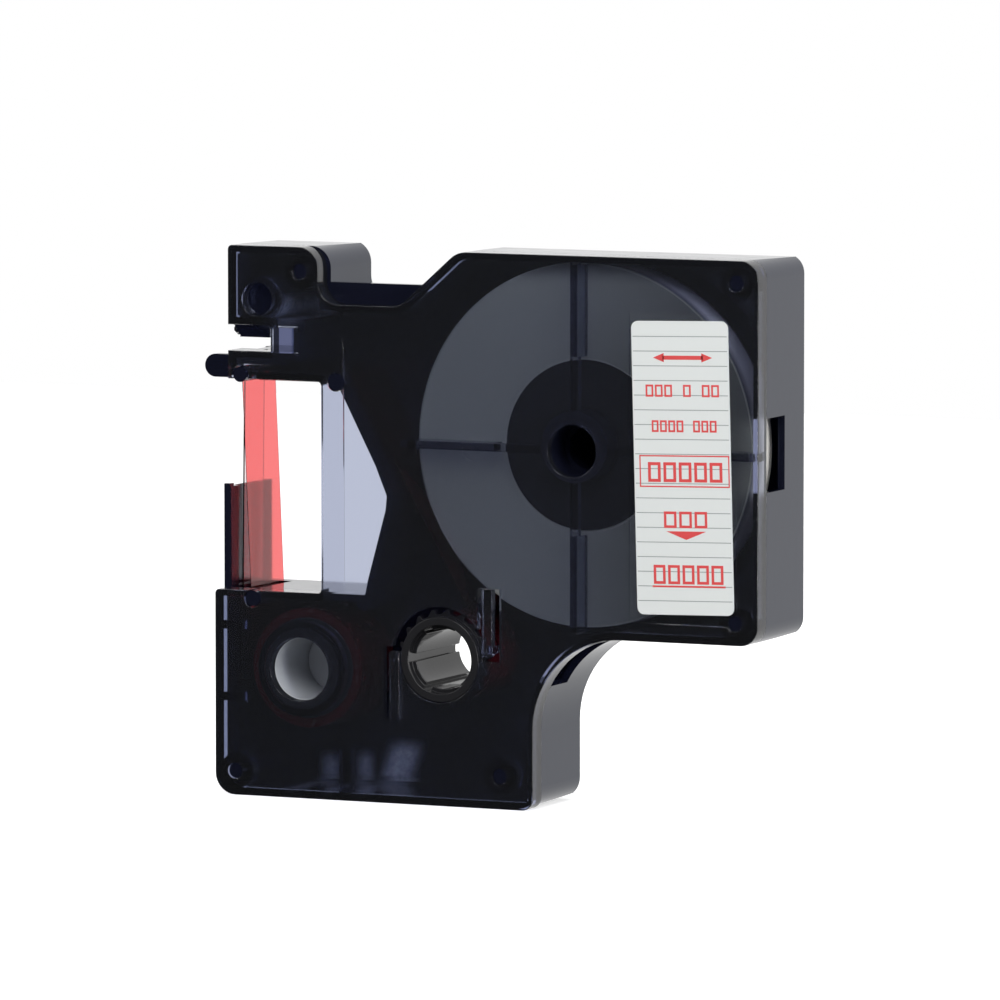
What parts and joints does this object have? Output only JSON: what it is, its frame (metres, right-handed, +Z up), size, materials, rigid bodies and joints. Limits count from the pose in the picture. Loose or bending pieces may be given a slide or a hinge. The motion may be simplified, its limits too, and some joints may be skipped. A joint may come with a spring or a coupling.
{
  "type": "label tape cassette",
  "caption": "Thin two-part plastic cassette with a roll of narrow label tape, a red thermal ribbon on two reels and an open window for a print head.",
  "frame": {"origin": "centre of the bounding box at the bottom of the reel block, where the cassette stands", "axes": "+Z up as the cassette stands on its reel block, -Y out of the front face with the label, +X towards the tape chamber"},
  "size_m": [0.0846, 0.016, 0.0764],
  "materials": {
    "base_plastic": "glossy, nearly opaque smoky navy",
    "cover_plastic": "glossy, see-through smoky navy",
    "reel_plastic": "satin",
    "label": "printed paper",
    "tape": "clear film on pale backing",
    "slip_film": "clear film",
    "ribbon": "thin see-through red film",
    "felt": "felt"
  },
  "bodies": {
    "housing": {"base_shell": "base_plastic", "cover": "cover_plastic", "front_label": "label", "front_slip_disc": "slip_film", "rear_slip_disc": "slip_film", "tape_inner_run": "tape", "tape_window_run": "tape", "supply_drag_ring": "felt", "ribbon_window_run": "ribbon", "ribbon_return_run": "ribbon"},
    "tape_spool": {"tape_core": "reel_plastic", "tape_roll": "tape"},
    "supply_reel": {"supply_core": "reel_plastic", "supply_ribbon": "ribbon"},
    "takeup_reel": {"takeup_core": "reel_plastic", "takeup_ribbon": "ribbon"},
    "lower_finger": {"lower_pawl": "cover_plastic"},
    "upper_finger": {"upper_pawl": "cover_plastic"}
  },
  "joints": [
    {"name": "tape_spool_spin", "type": "hinge", "parent": "housing", "child": "tape_spool", "pos_m": [0.01473, 0, 0.0502], "axis": [0, -1, 0], "continuous": true},
    {"name": "takeup_spin", "type": "hinge", "parent": "housing", "child": "takeup_reel", "pos_m": [-0.00522, 0, 0.0202], "axis": [0, -1, 0], "continuous": true},
    {"name": "supply_spin", "type": "hinge", "parent": "housing", "child": "supply_reel", "pos_m": [-0.0265, 0, 0.0179], "axis": [0, -1, 0], "continuous": true},
    {"name": "lower_pawl_flex", "type": "hinge", "parent": "housing", "child": "lower_finger", "pos_m": [-0.01208, -0.0074, 0.0119], "axis": [0, -1, 0], "range_deg": [0, 3.5], "stiffness_Nm_per_rad": 0.01},
    {"name": "upper_pawl_flex", "type": "hinge", "parent": "housing", "child": "upper_finger", "pos_m": [0.00198, -0.0074, 0.0301], "axis": [0, -1, 0], "range_deg": [0, 3.5], "stiffness_Nm_per_rad": 0.01}
  ],
  "couplings": [
    {"joint": "takeup_spin", "follows": "tape_spool_spin", "ratio": -4.1322},
    {"joint": "supply_spin", "follows": "tape_spool_spin", "ratio": -3.012}
  ]
}
